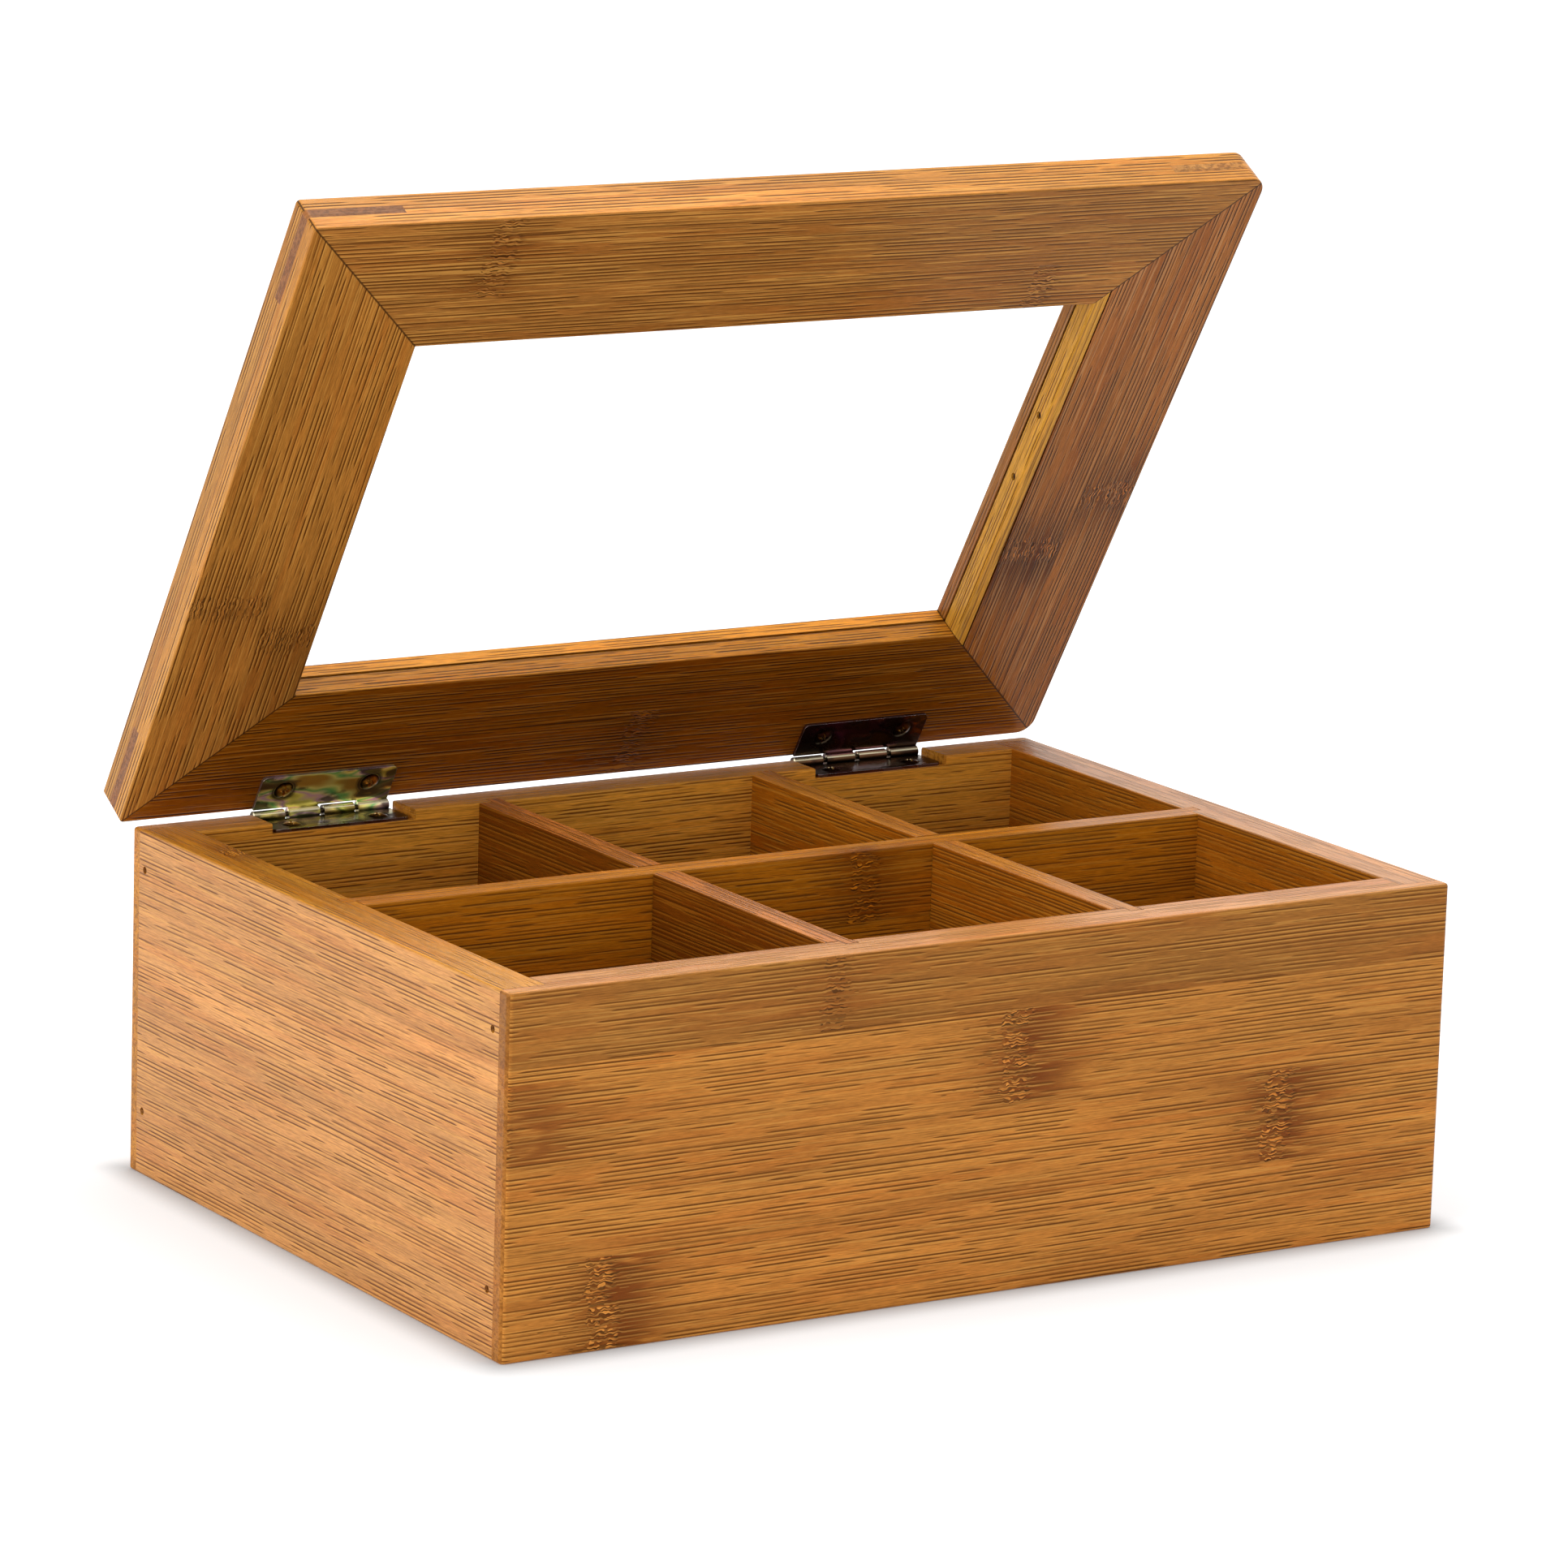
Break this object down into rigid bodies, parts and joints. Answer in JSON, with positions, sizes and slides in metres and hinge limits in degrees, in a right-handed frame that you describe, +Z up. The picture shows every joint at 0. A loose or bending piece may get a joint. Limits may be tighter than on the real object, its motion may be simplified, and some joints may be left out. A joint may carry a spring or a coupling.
{
  "type": "tea bag organizer box",
  "caption": "Bamboo box with compartments for tea bags and a hinged lid with a clear window, shown part open.",
  "frame": {"origin": "centre of the underside of the bottom panel", "axes": "+X to the right along the front, +Y to the back where the hinges are, +Z up"},
  "size_m": [0.291, 0.2138, 0.2736],
  "materials": {
    "wall_bamboo": "carbonised bamboo, satin lacquer",
    "divider_bamboo": "carbonised bamboo, satin lacquer",
    "panel_bamboo": "thin bamboo panel, satin lacquer",
    "lid_bamboo": "carbonised bamboo, satin lacquer",
    "bead_bamboo": "carbonised bamboo, satin lacquer",
    "key_bamboo": "end grain, satin lacquer",
    "clear_pane": "clear, polished",
    "hinge_zinc": "yellow passivated zinc on steel",
    "screw_zinc": "yellow passivated zinc on steel",
    "brad_steel": "dark steel"
  },
  "bodies": {
    "box": {"front_wall": "wall_bamboo", "back_wall": "wall_bamboo", "left_wall": "wall_bamboo", "right_wall": "wall_bamboo", "bottom_panel": "panel_bamboo", "long_divider": "divider_bamboo", "left_cross_divider": "divider_bamboo", "right_cross_divider": "divider_bamboo", "corner_brads": "brad_steel", "bottom_brads": "brad_steel", "left_box_leaf": "hinge_zinc", "left_hinge_pin": "hinge_zinc", "left_box_leaf_screws": "screw_zinc", "right_box_leaf": "hinge_zinc", "right_hinge_pin": "hinge_zinc", "right_box_leaf_screws": "screw_zinc"},
    "lid": {"lid_front_rail": "lid_bamboo", "lid_hinge_rail": "lid_bamboo", "lid_left_stile": "lid_bamboo", "lid_right_stile": "lid_bamboo", "lid_front_left_key": "key_bamboo", "lid_front_right_key": "key_bamboo", "lid_back_left_key": "key_bamboo", "lid_back_right_key": "key_bamboo", "window_pane": "clear_pane", "glazing_bead": "bead_bamboo", "bead_brads": "brad_steel", "left_lid_leaf": "hinge_zinc", "left_lid_leaf_screws": "screw_zinc", "right_lid_leaf": "hinge_zinc", "right_lid_leaf_screws": "screw_zinc"}
  },
  "joints": [
    {"name": "lid_hinge", "type": "hinge", "parent": "box", "child": "lid", "pos_m": [0, 0.102, 0.0928], "axis": [1, 0, 0], "range_deg": [-121, 59]}
  ]
}
